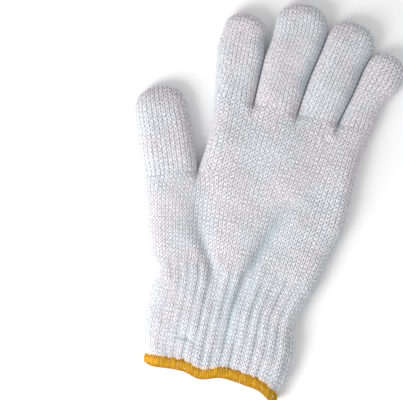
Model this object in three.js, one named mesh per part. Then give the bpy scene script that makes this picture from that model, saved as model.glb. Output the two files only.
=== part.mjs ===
// A seamless knitted cotton work glove, lying flat and empty on its palm side.
// X runs across the hand with the thumb at -X, Y from the wrist to the fingertips, Z up, in millimetres.
// The hand is a comb of five strips side by side: below the forks they share one hollow palm,
// and above its fork each strip is a tube of its own that ends in a rounded tip.
import * as THREE from "three";
import { mergeVertices } from "three/addons/utils/BufferGeometryUtils.js";

// Driving sizes.
const WALL = 1.8; // thick string knit
const END_GAP = 0.3; // between pieces that meet end to end
const DIGIT_GAP = 0.8; // between fingers that lie side by side
const PALM_LENGTH = 106; // cuff to the row of finger forks
const THUMB_FORK = 57.5; // cuff to the fork of the thumb
const CUFF_WIDTH = 94; // across the flat cuff, a third of the way down
const CUFF_LENGTH = 60;
const EDGE_LENGTH = 6.5; // overlocked edge, along the cuff
const EDGE_SWELL = 0.8; // how far the edge stands out of the cuff
const CUFF_THICKNESS = 16; // of the flat glove, at the cuff's top
const PALM_THICKNESS = 14.5;
const FINGER_THICKNESS = 12.5;
const TOP_ROUND = 10; // radius across the upper side edges
const BOTTOM_ROUND = 6; // radius across the lower side edges
const RIB_DEPTH = 1.4; // furrow between two ribs of the cuff
const INDEX_WIDTH = 24.9;
const INDEX_LENGTH = 55.5;
const MIDDLE_WIDTH = 28.3;
const MIDDLE_LENGTH = 69.5;
const RING_WIDTH = 26.4;
const RING_LENGTH = 65.3;
const LITTLE_WIDTH = 22.1;
const LITTLE_LENGTH = 50.7;
const THUMB_WIDTH = 34.5;
const THUMB_LENGTH = 56.5;
const THUMB_LEAN = 20; // degrees away from the fingers

// Digits from the thumb's side, with their widths at the fork. low, high and shoulder are their widths as
// shares of that one, at LOW, HIGH and `reach` of the length, where the rounded tip starts.
// tip_turn is how far the tip turns outwards, in degrees.
const LOW = 0.35;
const HIGH = 0.6;
const THUMB = {
  name: "thumb", width: THUMB_WIDTH, length: THUMB_LENGTH, low: 1, high: 0.985, shoulder: 0.96, reach: 0.69,
};
const FINGERS = [
  {
    name: "index_finger", width: INDEX_WIDTH, length: INDEX_LENGTH,
    low: 1.13, high: 1.2, shoulder: 1.16, tip_turn: 2,
  },
  {
    name: "middle_finger", width: MIDDLE_WIDTH, length: MIDDLE_LENGTH,
    low: 1.09, high: 1.2, shoulder: 1.26, tip_turn: -5,
  },
  {
    name: "ring_finger", width: RING_WIDTH, length: RING_LENGTH,
    low: 1.12, high: 1.13, shoulder: 1.2, tip_turn: 9,
  },
  {
    name: "little_finger", width: LITTLE_WIDTH, length: LITTLE_LENGTH,
    low: 0.93, high: 1.16, shoulder: 1.14, tip_turn: 14,
  },
].map((finger) => ({ ...finger, reach: 0.77 }));
const STRIPS = FINGERS.length + 1; // the thumb's strip is the first

// Sides of the cuff as shares of half its width, at shares of its length from the top.
const CUFF_SIDES = [
  { at: 0, left: 1.117, right: 1.145 },
  { at: 0.15, left: 0.99, right: 1.06 },
  { at: 0.35, left: 1, right: 1 },
  { at: 0.6, left: 1.005, right: 1.06 },
  { at: 0.85, left: 0.95, right: 1.055 },
  { at: 1, left: 0.865, right: 0.97 },
];
// Reach of the mouth as shares of the cuff's length, at shares across the cuff from its thumb side.
const MOUTH_LINE = [
  { at: 0, front: 1.03, back: 1.03 },
  { at: 0.28, front: 0.995, back: 1 },
  { at: 0.42, front: 1.035, back: 0.99 },
  { at: 0.57, front: 0.975, back: 0.98 },
  { at: 0.75, front: 0.995, back: 1.01 },
  { at: 0.87, front: 1.025, back: 1.05 },
  { at: 1, front: 1.14, back: 1.14 },
];
// Swell of the palm's outer side beyond a straight line, as shares of the cuff's width along the palm.
const PALM_SWELL = [
  { at: 0, out: 0 },
  { at: 0.2, out: 0.018 },
  { at: 0.4, out: 0.042 },
  { at: 0.8, out: -0.01 },
  { at: 1, out: 0 },
];
// Folds of the upper layer. foot and head are places across the strips, at the cuff and at the share reach
// of the palm's length; width at the foot is a share of one strip, and depth a share of the palm's thickness.
const FOLDS = [
  { foot: 1.92, head: 1.2, reach: THUMB_FORK / PALM_LENGTH, width: 0.2, depth: 0.17 },
  { foot: 2.92, head: 3.5, reach: 0.5, width: 0.17, depth: 0.23 },
];
const FOLD_FLARE = 1.8; // width of a fold at its head, over the one at its foot
const FOLD_TAIL = 2.5; // a fold ends in the cuff after one part in so many of its length
const RIBS_ACROSS = 17; // ribs on one layer of the cuff
const MIDDLE_SHARE = 0.42; // height of the side seamless edges, as a share of the thickness
const DOME = 0.12; // how much thinner the glove is at its sides
const INDEX_HOLLOW = 0.025; // inward bow of the palm's side above the thumb, as a share of the cuff's width
const FINGER_LINE = 0.4; // where index and middle finger meet, across the strips at the cuff
const FADE = 15; // how far a groove between two digits runs into the palm
const WEB = 4; // depth of cloth in a fork
const STUB = 6; // height above a fork at which a digit starts
const SPREAD = 2; // how far index and middle finger draw back from the line between them
const SPREAD_START = 30; // heights above the fork where they start to, and where they have done so
const SPREAD_END = 46;
const TIP_SQUARENESS = 2.4; // exponent of the tip's outline, 2 for an ellipse

// Mesh resolution.
const FRONT_COLUMNS = 8; // facets across a strip on the upper layer
const BACK_COLUMNS = 5;
const RIB_COLUMNS = 4; // facets across one rib
const EDGE_COLUMNS = 30; // facets across one layer of the overlocked edge
const CUFF_ROWS = 6;
const PALM_ROWS = 8;
const DIGIT_ROWS = 5;
const TIP_ROWS = 4;

const { lerp, clamp, smoothstep, degToRad } = THREE.MathUtils;
const LAYERS = ["front", "back"];

// Smooth curve through the column `key` of a table whose rows are placed by `at`.
function tableValue(table, key, at) {
  const last = table.length - 2;
  const i = clamp(table.findIndex((row) => row.at > at) - 1, 0, last);
  const row = at >= table[table.length - 1].at ? last : i;
  const [a, b] = [table[row], table[row + 1]];
  const before = table[Math.max(row - 1, 0)];
  const after = table[Math.min(row + 2, table.length - 1)];
  const span = b.at - a.at;
  const slopeA = ((b[key] - before[key]) / (b.at - before.at)) * span;
  const slopeB = ((after[key] - a[key]) / (after.at - a.at)) * span;
  const t = clamp((at - a.at) / span, 0, 1);
  return (
    a[key] * (2 * t ** 3 - 3 * t ** 2 + 1) +
    slopeA * (t ** 3 - 2 * t ** 2 + t) +
    b[key] * (3 * t ** 2 - 2 * t ** 3) +
    slopeB * (t ** 3 - t ** 2)
  );
}

// Sides of the cuff at a share of its length.
const cuffSide = (key, at) => (CUFF_WIDTH / 2) * tableValue(CUFF_SIDES, key, at);
const wristLeft = -cuffSide("left", 0);
const wristRight = cuffSide("right", 0);

// Width of a digit at a height above its fork.
function digitWidth(digit, height) {
  const widths = [
    { at: 0, width: 1 },
    { at: LOW, width: digit.low },
    { at: HIGH, width: digit.high },
    { at: digit.reach, width: digit.shoulder },
  ];
  return digit.width * tableValue(widths, "width", Math.max(height / digit.length, 0));
}

// Line between fingers `i - 1` and `i` at a height above the forks, stacked out from the line between
// index and middle finger, which stands straight.
const fingerLine = wristLeft + FINGER_LINE * (wristRight - wristLeft);
function fingerBorder(i, height) {
  if (i === 0) return fingerLine - digitWidth(FINGERS[0], height);
  const inside = FINGERS.slice(1, i);
  return inside.reduce((x, finger) => x + digitWidth(finger, height), fingerLine);
}

// The thumb's fork and the foot of its outer side, square to its lean.
const thumbUp = new THREE.Vector2(-Math.sin(degToRad(THUMB_LEAN)), Math.cos(degToRad(THUMB_LEAN)));
const thumbOut = new THREE.Vector2(-thumbUp.y, thumbUp.x);
const forkThumb = new THREE.Vector2(fingerBorder(0, 0), THUMB_FORK);
const thumbFoot = forkThumb.clone().addScaledVector(thumbOut, THUMB_WIDTH);

// Line between strips `k - 1` and `k` of the palm, at a height above the cuff.
function palmBorder(k, y) {
  const foot = lerp(wristLeft, wristRight, k / STRIPS);
  if (k === 0) return lerp(foot, thumbFoot.x, y / thumbFoot.y);
  const head = fingerBorder(k - 1, 0);
  const straight = lerp(foot, head, y / PALM_LENGTH);
  if (k === STRIPS) return straight + CUFF_WIDTH * tableValue(PALM_SWELL, "out", y / PALM_LENGTH);
  if (k > 1) return straight;
  const above = clamp((y - THUMB_FORK) / (PALM_LENGTH - THUMB_FORK), 0, 1);
  const below = lerp(foot, forkThumb.x, Math.min(y / THUMB_FORK, 1));
  return below + CUFF_WIDTH * INDEX_HOLLOW * Math.sin(Math.PI * above);
}

// Height of a fork line: outer sides are open all the way, and a deeper skin forks lower by the web.
function forkHeight(k, depth) {
  if (k === 0 || k === STRIPS) return -Infinity;
  return (k === 1 ? THUMB_FORK : PALM_LENGTH) - (WEB * depth) / WALL;
}

// How far the groove on a line between strips is open: 0 on the flat palm, 1 from the fork on.
function openness(k, y, depth) {
  const below = clamp((forkHeight(k, depth) - y) / FADE, 0, 1);
  return 1 - Math.sqrt(1 - (1 - below) ** 2);
}

// How far a skin lies inside a line between strips.
function inset(k, y, depth) {
  if (k === 0 || k === STRIPS) return depth;
  const above = y - forkHeight(k, depth);
  const grown = clamp(above / (STUB + (WEB * depth) / WALL), 0, 1);
  const drawnBack = k === 2 ? SPREAD * smoothstep(above, SPREAD_START, SPREAD_END) : 0;
  const clear = k === 1 ? 0 : DIGIT_GAP / 2 + drawnBack;
  return (clear + depth) * Math.sqrt(grown);
}

// Thickness of the flat glove at a height above the cuff and a place across the strips.
function thickness(y, place) {
  const cuffToPalm = lerp(CUFF_THICKNESS, PALM_THICKNESS, smoothstep(y, -CUFF_LENGTH / 2, PALM_LENGTH / 4));
  const towardsFingers = smoothstep(y, PALM_LENGTH - 2 * FADE, PALM_LENGTH);
  const dome = 1 - DOME + DOME * Math.sin((Math.PI * clamp(place, 0, STRIPS)) / STRIPS);
  return dome * lerp(cuffToPalm, FINGER_THICKNESS, towardsFingers);
}

// Drop of the upper layer in the folds.
function foldDrop(y, place) {
  return FOLDS.reduce((sum, fold) => {
    const along = y > 0 ? y / (fold.reach * PALM_LENGTH) : (FOLD_TAIL * y) / CUFF_LENGTH;
    const up = clamp(along, 0, 1);
    const away = (place - lerp(fold.foot, fold.head, up)) / (fold.width * lerp(1, FOLD_FLARE, up));
    const fade = Math.sqrt(Math.max(0, 1 - along ** 2));
    return sum + fold.depth * PALM_THICKNESS * fade * Math.exp(-away * away);
  }, 0);
}

// Place across a strip whose sides are rounded where they are open. q runs from 0 to 1 with the length of the
// surface; it returns the share across and the share of the full height there.
function across(q, width, openLeft, openRight, layer, depth) {
  const round = Math.min(layer === "front" ? TOP_ROUND : BOTTOM_ROUND, 0.46 * width) - depth / 2;
  const arc = (Math.PI / 2) * round * 0.9;
  const straight = width - round * (openLeft + openRight);
  const total = straight + arc * (openLeft + openRight);
  const run = q * total;
  if (run < arc * openLeft) {
    const turn = ((run / (arc * openLeft)) * Math.PI) / 2;
    const side = (round * openLeft * (1 - Math.cos(turn))) / width;
    return { share: side, height: 1 - openLeft * (1 - Math.sin(turn)) };
  }
  const rest = total - run;
  if (rest < arc * openRight) {
    const turn = ((rest / (arc * openRight)) * Math.PI) / 2;
    const side = (round * openRight * (1 - Math.cos(turn))) / width;
    return { share: 1 - side, height: 1 - openRight * (1 - Math.sin(turn)) };
  }
  return { share: (round * openLeft + run - arc * openLeft) / width, height: 1 };
}

// Point of a skin, `depth` under the outer one, between two points on the sides of a strip. On a rounded tip
// the section keeps the shape that it has at the shoulder's width, and its height shrinks by `swell`.
function skinPoint(q, left, right, openLeft, openRight, strip, layer, depth, tip = {}) {
  const { width = left.distanceTo(right), swell = 1 } = tip;
  const { share, height } = across(q, width, openLeft, openRight, layer, depth);
  const p = left.clone().lerp(right, share);
  const place = strip + lerp(0.5, share, swell);
  const full = thickness(p.y, place);
  const middle = MIDDLE_SHARE * full;
  const half = layer === "front" ? full - middle - foldDrop(p.y, place) - depth : middle - depth;
  return new THREE.Vector3(p.x, p.y, middle + (layer === "front" ? 1 : -1) * half * height * swell);
}

// Triangles of a grid of points, faced out when rows go up the hand on the front.
function addGrid(points, rows, columns, pointAt, flip) {
  const at = (j, i) => pointAt(j, i);
  for (let j = 0; j < rows; j++)
    for (let i = 0; i < columns; i++) {
      const [a, b, c, d] = [at(j, i), at(j, i + 1), at(j + 1, i + 1), at(j + 1, i)];
      if (flip) points.push(a, c, b, a, d, c);
      else points.push(a, b, c, a, c, d);
    }
}

// One closed mesh from loose triangles; those that shrink to a line are dropped.
function meshOf(name, points, colour, roughness) {
  const kept = [];
  for (let i = 0; i < points.length; i += 3) {
    const [a, b, c] = points.slice(i, i + 3);
    const same = (p, q) => p.distanceToSquared(q) < 1e-8;
    if (!same(a, b) && !same(b, c) && !same(c, a)) kept.push(a, b, c);
  }
  const geometry = mergeVertices(new THREE.BufferGeometry().setFromPoints(kept), 1e-4);
  geometry.computeVertexNormals();
  const material = new THREE.MeshStandardMaterial({ color: colour, roughness, metalness: 0 });
  const mesh = new THREE.Mesh(geometry, material);
  mesh.name = name;
  return mesh;
}

const columnsOf = (layer) => (layer === "front" ? FRONT_COLUMNS : BACK_COLUMNS);

// Sides of a digit as functions of a share of the way from its fork to its shoulder, and its tip's length.
function fingerSides(i) {
  const finger = FINGERS[i];
  const shoulder = finger.reach * finger.length;
  const slope = (Math.tan(degToRad(finger.tip_turn)) * digitWidth(finger, shoulder)) / 2;
  const side = (k, reach) => (t) => {
    const height = t * (shoulder + reach);
    return new THREE.Vector2(fingerBorder(k, height), PALM_LENGTH + height);
  };
  return {
    name: finger.name,
    strip: i + 1,
    left: side(i, slope),
    right: side(i + 1, -slope),
    length: shoulder,
    tip: finger.length - shoulder,
  };
}
function thumbSides() {
  const shoulder = THUMB.reach * THUMB.length;
  const taper = (t) => THUMB.width - digitWidth(THUMB, t * shoulder);
  const along = (foot, t) => foot.clone().addScaledVector(thumbUp, t * shoulder);
  return {
    name: THUMB.name,
    strip: 0,
    left: (t) => along(thumbFoot, t),
    right: (t) => along(forkThumb, t).addScaledVector(thumbOut, taper(t)),
    length: shoulder,
    tip: THUMB.length - shoulder,
  };
}
const digits = [thumbSides(), ...FINGERS.map((_, i) => fingerSides(i))];

// The two side points of a digit's skin at a share of the way to the shoulder, and the openness of 1.
function digitRow(digit, t, depth) {
  const left = digit.left(t);
  const right = digit.right(t);
  const inward = right.clone().sub(left).normalize();
  const rise = t * digit.length;
  const free = (k, base) => inset(k, base + rise, depth);
  const base = digit.strip === 0 ? THUMB_FORK : PALM_LENGTH;
  const outerLeft = digit.strip === 0 ? depth : free(digit.strip, base);
  left.addScaledVector(inward, digit.strip === 1 ? inset(1, base + rise, depth) : outerLeft);
  right.addScaledVector(inward, -free(digit.strip + 1, base));
  return { left, right };
}

// Skin of a digit from a share of the way up to the shoulder, and round the tip: there the section of the
// shoulder moves outwards, narrows and flattens down to a single point.
function digitPoint(digit, start, j, q, layer, depth) {
  const up = Math.min(j / DIGIT_ROWS, 1);
  const { left, right } = digitRow(digit, lerp(start, 1, up), depth);
  const width = left.distanceTo(right);
  const turn = (Math.max(j - DIGIT_ROWS, 0) / TIP_ROWS) * (Math.PI / 2);
  const wide = j === DIGIT_ROWS + TIP_ROWS ? 0 : Math.cos(turn) ** (2 / TIP_SQUARENESS);
  const far = Math.sin(turn) ** (2 / TIP_SQUARENESS) * (digit.tip - depth);
  const outwards = new THREE.Vector2(left.y - right.y, right.x - left.x).normalize();
  const centre = left.clone().lerp(right, 0.5).addScaledVector(outwards, far);
  const half = right.clone().sub(left).multiplyScalar(wide / 2);
  const sides = [centre.clone().sub(half), centre.clone().add(half)];
  return skinPoint(q, ...sides, 1, 1, digit.strip, layer, depth, { width, swell: wide });
}

// Ring of quads that closes the wall between the outer and the inner skin.
function addRim(points, columns, outerAt, innerAt, flip) {
  addGrid(points, 1, columns, (j, i) => (j === 0 ? outerAt(i) : innerAt(i)), flip);
}

// A digit: outer skin, inner skin and the rim at its open end.
function makeDigit(digit) {
  const points = [];
  const start = (STUB + END_GAP) / digit.length;
  for (const layer of LAYERS) {
    const columns = columnsOf(layer);
    const back = layer === "back";
    const at = (depth) => (j, i) => digitPoint(digit, start, j, i / columns, layer, depth);
    addGrid(points, DIGIT_ROWS + TIP_ROWS, columns, at(0), back);
    addGrid(points, DIGIT_ROWS + TIP_ROWS, columns, at(WALL), !back);
    addRim(points, columns, (i) => at(0)(0, i), (i) => at(WALL)(0, i), !back);
  }
  return meshOf(digit.name, points, 0xd9d8df, 0.9);
}

// Height above the cuff of row j on line k in a zone of the palm; rows close up towards the forks.
function zoneHeight(zone, k, j, depth) {
  const share = Math.sin(((j / PALM_ROWS) * Math.PI) / 2);
  const lower = WEB * (depth / WALL);
  if (zone === "below") return lerp(END_GAP / 2, (k === 0 ? thumbFoot.y : THUMB_FORK) - lower, share);
  return lerp(THUMB_FORK, PALM_LENGTH, share) - lower;
}

// Point of the palm's skin in a strip, below or above the fork of the thumb.
function palmPoint(zone, strip, j, q, layer, depth) {
  const side = (k, sign) => {
    const y = zoneHeight(zone, k, j, depth);
    const open = zone === "above" && k === 1 ? 1 : openness(k, y, depth);
    return { p: new THREE.Vector2(palmBorder(k, y) + sign * inset(k, y, depth), y), open };
  };
  const [left, right] = [side(strip, 1), side(strip + 1, -1)];
  return skinPoint(q, left.p, right.p, left.open, right.open, strip, layer, depth);
}

// Short tube between a fork and the start of a digit. A deeper skin starts lower, on the palm's last row.
function stubPoint(digit, j, q, layer, depth) {
  const zone = digit.strip === 0 ? "below" : "above";
  if (j === 0) return palmPoint(zone, digit.strip, PALM_ROWS, q, layer, depth);
  const { left, right } = digitRow(digit, STUB / digit.length, depth);
  return skinPoint(q, left, right, 1, 1, digit.strip, layer, depth);
}

// The palm: both skins in two zones, five short tubes, and rims at the cuff and at each digit.
function makePalm() {
  const points = [];
  for (const layer of LAYERS) {
    const columns = columnsOf(layer);
    const back = layer === "back";
    for (const depth of [0, WALL]) {
      const flip = (depth > 0) !== back;
      for (let strip = 0; strip < STRIPS; strip++) {
        const zones = strip === 0 ? ["below"] : ["below", "above"];
        for (const zone of zones)
          addGrid(points, PALM_ROWS, columns, (j, i) => palmPoint(zone, strip, j, i / columns, layer, depth), flip);
        addGrid(points, 1, columns, (j, i) => stubPoint(digits[strip], j, i / columns, layer, depth), flip);
      }
    }
    for (let strip = 0; strip < STRIPS; strip++) {
      const foot = (depth) => (i) => palmPoint("below", strip, 0, i / columns, layer, depth);
      const head = (depth) => (i) => stubPoint(digits[strip], 1, i / columns, layer, depth);
      addRim(points, columns, foot(0), foot(WALL), !back);
      addRim(points, columns, head(0), head(WALL), back);
    }
  }
  return meshOf("palm", points, 0xcccbd1, 0.9);
}

// Furrow between ribs, 1 at the bottom of a furrow and 0 on a rib.
const furrow = (q) => 0.5 + 0.5 * Math.cos(2 * Math.PI * RIBS_ACROSS * q);

// Point of the cuff's skin at a share of the way down to the mouth, `extra` millimetres past it.
function cuffPoint(q, t, layer, depth, extra, ribbed) {
  const ribs = ribbed * RIB_DEPTH * furrow(q) * smoothstep(t, 0, 0.15);
  const deep = depth + ribs;
  const left = new THREE.Vector2(-cuffSide("left", t) + deep, 0);
  const right = new THREE.Vector2(cuffSide("right", t) - deep, 0);
  const width = left.distanceTo(right);
  const { share, height } = across(q, width, 1, 1, layer, depth);
  const x = lerp(left.x, right.x, share);
  const reach = CUFF_LENGTH * tableValue(MOUTH_LINE, layer, share);
  const y = -t * reach - extra;
  const full = thickness(-t * CUFF_LENGTH, share * STRIPS);
  const middle = MIDDLE_SHARE * full;
  const half = layer === "front" ? full - middle - foldDrop(y, share * STRIPS) - deep : middle - deep;
  return new THREE.Vector3(x, y, Math.max(0, middle + (layer === "front" ? 1 : -1) * half * height));
}

// The ribbed cuff, open at both ends.
function makeCuff() {
  const points = [];
  const columns = RIBS_ACROSS * RIB_COLUMNS;
  for (const layer of LAYERS) {
    const back = layer === "back";
    const at = (depth) => (j, i) => {
      const extra = j === CUFF_ROWS ? -END_GAP / 2 : j === 0 ? END_GAP / 2 : 0;
      return cuffPoint(i / columns, j / CUFF_ROWS, layer, depth, extra, 1);
    };
    addGrid(points, CUFF_ROWS, columns, at(0), !back);
    addGrid(points, CUFF_ROWS, columns, at(WALL), back);
    addRim(points, columns, (i) => at(0)(0, i), (i) => at(WALL)(0, i), back);
    addRim(points, columns, (i) => at(0)(CUFF_ROWS, i), (i) => at(WALL)(CUFF_ROWS, i), !back);
  }
  return meshOf("ribbed_cuff", points, 0xd0d1d8, 0.9);
}

// Section of the overlocked edge: length share down from the cuff, and depth under the cuff's skin.
const EDGE_SECTION = [
  { down: 0, depth: 0 },
  { down: 0.3, depth: -EDGE_SWELL },
  { down: 0.75, depth: -EDGE_SWELL * 0.9 },
  { down: 1, depth: WALL / 2 },
  { down: 0.75, depth: WALL + EDGE_SWELL * 0.9 },
  { down: 0.3, depth: WALL + EDGE_SWELL },
  { down: 0, depth: WALL },
];

// The overlocked edge: a soft rope of thread round the mouth.
function makeEdge() {
  const points = [];
  for (const layer of LAYERS) {
    const at = (j, i) => {
      const { down, depth } = EDGE_SECTION[j % EDGE_SECTION.length];
      return cuffPoint(i / EDGE_COLUMNS, 1, layer, depth, END_GAP / 2 + down * (EDGE_LENGTH - END_GAP / 2), 0);
    };
    addGrid(points, EDGE_SECTION.length, EDGE_COLUMNS, at, layer === "front");
  }
  return meshOf("overlock_edge", points, 0xd39d31, 0.75);
}

const glove = new THREE.Group();
glove.add(makePalm(), ...digits.map(makeDigit), makeCuff(), makeEdge());

// The frame's origin is under the middle of the glove, on the surface that it lies on.
const box = new THREE.Box3().setFromObject(glove, true);
glove.position.set(-(box.min.x + box.max.x) / 2, -(box.min.y + box.max.y) / 2, -box.min.z);

export default glove;
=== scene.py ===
import bpy
import numpy as np
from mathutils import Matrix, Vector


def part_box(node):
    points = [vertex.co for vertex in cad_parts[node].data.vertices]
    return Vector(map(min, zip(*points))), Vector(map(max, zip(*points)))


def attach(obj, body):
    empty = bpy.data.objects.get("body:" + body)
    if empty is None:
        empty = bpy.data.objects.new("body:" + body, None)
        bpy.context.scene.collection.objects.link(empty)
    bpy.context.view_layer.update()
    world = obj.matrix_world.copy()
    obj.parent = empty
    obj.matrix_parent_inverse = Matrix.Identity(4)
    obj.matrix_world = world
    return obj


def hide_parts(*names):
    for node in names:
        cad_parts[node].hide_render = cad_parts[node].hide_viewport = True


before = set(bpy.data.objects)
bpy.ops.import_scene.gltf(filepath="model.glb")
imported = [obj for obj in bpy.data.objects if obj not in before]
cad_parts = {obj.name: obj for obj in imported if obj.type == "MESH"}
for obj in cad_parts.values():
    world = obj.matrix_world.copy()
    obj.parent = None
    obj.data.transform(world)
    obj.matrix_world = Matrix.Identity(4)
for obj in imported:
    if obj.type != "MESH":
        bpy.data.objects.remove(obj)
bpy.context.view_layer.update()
print("plain pieces:", sorted(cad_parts))

# %% [markdown]
# ## Sizes of the glove
# The plain model is made from a few named sizes in millimetres. The same ones are written here, because
# the fine surfaces have to lie exactly where the plain ones do. X runs across the hand, the thumb at -X,
# Y from the wrist to the fingertips and Z up. The hand is a comb of five strips, the thumb's first. Below
# the forks they share one palm, and above its fork each strip is a tube of its own.
# %% Named sizes
WALL = 1.8
DIGIT_GAP = 0.8
PALM_LENGTH = 106
THUMB_FORK = 57.5
CUFF_WIDTH, CUFF_LENGTH, EDGE_LENGTH = 94, 60, 6.5
EDGE_SWELL = 0.8
CUFF_THICKNESS, PALM_THICKNESS, FINGER_THICKNESS = 16, 14.5, 12.5
ROUND = {"front": 10, "back": 6}  # radius across the side edges of each layer
FLATTENED = 0.9  # length of a side edge's quarter ellipse, over that of a quarter circle
THUMB_LEAN = np.radians(20)
MIDDLE_SHARE = 0.42  # height of the side edges, as a share of the thickness
DOME = 0.12  # how much thinner the glove is at its sides
INDEX_HOLLOW = 0.025  # inward bow of the palm's side above the thumb, as a share of the cuff's width
FINGER_LINE = 0.4  # where index and middle finger meet, across the strips at the cuff
FADE = 15  # how far a groove between two digits runs into the palm
WEB = 4  # depth of cloth in a fork
STUB = 6  # height above a fork at which a digit starts
TIP_SQUARENESS = 2.4  # exponent of the tip's outline
STRIPS = 5
PALM_GAP = 0.15  # the plain palm starts this far above the cuff

# name: width, length, shares of the width at 0, LOW, HIGH and reach, share of the length at which the tip
# starts, turn of the tip in degrees, and wales on one layer, in the strip of the palm and on the digit
LOW, HIGH = 0.35, 0.6
DIGITS = {
    "thumb": (34.5, 56.5, (1, 1, 0.985, 0.96), 0.69, 0, 15, 15),
    "index_finger": (24.9, 55.5, (1, 1.13, 1.2, 1.16), 0.77, 2, 9, 15),
    "middle_finger": (28.3, 69.5, (1, 1.09, 1.2, 1.26), 0.77, -5, 9, 17),
    "ring_finger": (26.4, 65.3, (1, 1.12, 1.13, 1.2), 0.77, 9, 9, 15),
    "little_finger": (22.1, 50.7, (1, 0.93, 1.16, 1.14), 0.77, 14, 9, 11),
}
FINGERS = list(DIGITS)[1:]

# Sides of the cuff: share of its length, then shares of half its width to the left and right. Mouth: share
# of the way across, then shares of the cuff's length above and below. Swell of the palm's outer side.
CUFF_SIDES = ((0, 1.117, 1.145), (0.15, 0.99, 1.06), (0.35, 1, 1), (0.6, 1.005, 1.06),
              (0.85, 0.95, 1.055), (1, 0.865, 0.97))
MOUTH_LINE = ((0, 1.03, 1.03), (0.28, 0.995, 1), (0.42, 1.035, 0.99), (0.57, 0.975, 0.98),
              (0.75, 0.995, 1.01), (0.87, 1.025, 1.05), (1, 1.14, 1.14))
PALM_SWELL = ((0, 0), (0.2, 0.018), (0.4, 0.042), (0.8, -0.01), (1, 0))
# Folds: places across the strips at the foot and head, reach along the palm, width, depth, and how far the
# middle bows out, which the plain model leaves out.
FOLDS = ((1.92, 1.2, THUMB_FORK / PALM_LENGTH, 0.2, 0.17, -0.33), (2.92, 3.5, 0.5, 0.17, 0.23, 0))
FOLD_FLARE = 1.8  # width of a fold at its head, over the one at its foot
FOLD_TAIL = 2.5  # a fold ends in the cuff after one part in so many of its length
SPREAD, SPREAD_START, SPREAD_END = 2, 30, 46  # how the index and middle finger draw back from each other

# Where the formulas' origin lies in the frame, found from two of the plain pieces.
cuff_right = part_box("ribbed_cuff")[1][0] * 1000
palm_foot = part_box("palm")[0][1] * 1000
OFFSET = np.array([cuff_right - CUFF_SIDES[0][2] * CUFF_WIDTH / 2, palm_foot - PALM_GAP, 0])
print("formulas start at", OFFSET.round(3), "mm")

# %% [markdown]
# ## Lines across the hand
# The outline and the lines between the strips are formulas of the height along the hand, so they give as
# many points as the stitches need. A table with a smooth cubic between its rows holds what no simple
# formula gives, such as the width of a finger.
# %% Curves and lines


def curve(table, column, at):
    """Value of a table's column at a place: between two rows a cubic from value to value, its slope at a
    row that of the straight line between the rows on either side."""
    table = np.asarray(table, float)
    places, values = table[:, 0], table[:, column]
    row = np.clip(np.searchsorted(places, at, side="right") - 1, 0, len(places) - 2)
    before, after = np.maximum(row - 1, 0), np.minimum(row + 2, len(places) - 1)
    span = places[row + 1] - places[row]
    slope_in = (values[row + 1] - values[before]) / (places[row + 1] - places[before]) * span
    slope_out = (values[after] - values[row]) / (places[after] - places[row]) * span
    t = np.clip((at - places[row]) / span, 0, 1)
    ends = values[row] * (2 * t**3 - 3 * t**2 + 1) + values[row + 1] * (3 * t**2 - 2 * t**3)
    return ends + slope_in * (t**3 - 2 * t**2 + t) + slope_out * (t**3 - t**2)


def lerp(a, b, t):
    """Straight mix: a plus t times the step from a to b."""
    return a + (b - a) * t


def ease(x, low, high):
    """S-curve from 0 at low to 1 at high: 3 times the square of the share, less 2 times its cube."""
    t = np.clip((x - low) / (high - low), 0, 1)
    return t * t * (3 - 2 * t)


def cuff_side(column, at):
    """Half the cuff's width, times the table's share at that part of its length."""
    return CUFF_WIDTH / 2 * curve(CUFF_SIDES, column, at)


def digit_width(name, height):
    """Width at the fork, times the table's share at that height over the digit's length."""
    width, length, shares, reach = DIGITS[name][:4]
    table = list(zip((0, LOW, HIGH, reach), shares))
    return width * curve(table, 1, np.maximum(height / length, 0))


wrist_left, wrist_right = -cuff_side(1, 0), cuff_side(2, 0)
finger_line_x = lerp(wrist_left, wrist_right, FINGER_LINE)


def finger_line(i, height):
    """Line between fingers i - 1 and i: the widths of the fingers stacked out from the line that stands
    straight between the index and the middle finger."""
    if i == 0:
        return finger_line_x - digit_width(FINGERS[0], height)
    return finger_line_x + sum(digit_width(name, height) for name in FINGERS[1:i]) + 0 * height


THUMB_UP = np.array([-np.sin(THUMB_LEAN), np.cos(THUMB_LEAN)])
THUMB_OUT = np.array([-THUMB_UP[1], THUMB_UP[0]])
thumb_fork = np.array([finger_line(0, 0.0), THUMB_FORK])
thumb_foot = thumb_fork + THUMB_OUT * DIGITS["thumb"][0]


def palm_line(k, y):
    """Line between strips k - 1 and k: straight from the cuff to its fork. The outer one swells by a
    table, and the one at the thumb bows in by half a sine wave above the thumb."""
    foot = lerp(wrist_left, wrist_right, k / STRIPS)
    if k == 0:
        return lerp(foot, thumb_foot[0], y / thumb_foot[1])
    if k == 1:
        above = np.clip((y - THUMB_FORK) / (PALM_LENGTH - THUMB_FORK), 0, 1)
        below = lerp(foot, thumb_fork[0], np.minimum(y / THUMB_FORK, 1))
        return below + CUFF_WIDTH * INDEX_HOLLOW * np.sin(np.pi * above)
    straight = lerp(foot, finger_line(k - 1, 0.0), y / PALM_LENGTH)
    return straight + (CUFF_WIDTH * curve(PALM_SWELL, 1, y / PALM_LENGTH) if k == STRIPS else 0)


def fork_height(k, depth):
    """Height of the fork on line k; a skin that lies deeper forks lower by its share of the web."""
    return (THUMB_FORK if k == 1 else PALM_LENGTH) - WEB * depth / WALL


def openness(k, y, depth):
    """How far line k is open between its strips: from 0, FADE below the fork, to 1, as a cube."""
    if k in (0, STRIPS):
        return np.ones_like(y)
    below = np.clip((fork_height(k, depth) - y) / FADE, 0, 1)
    return (1 - below) ** 3


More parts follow.
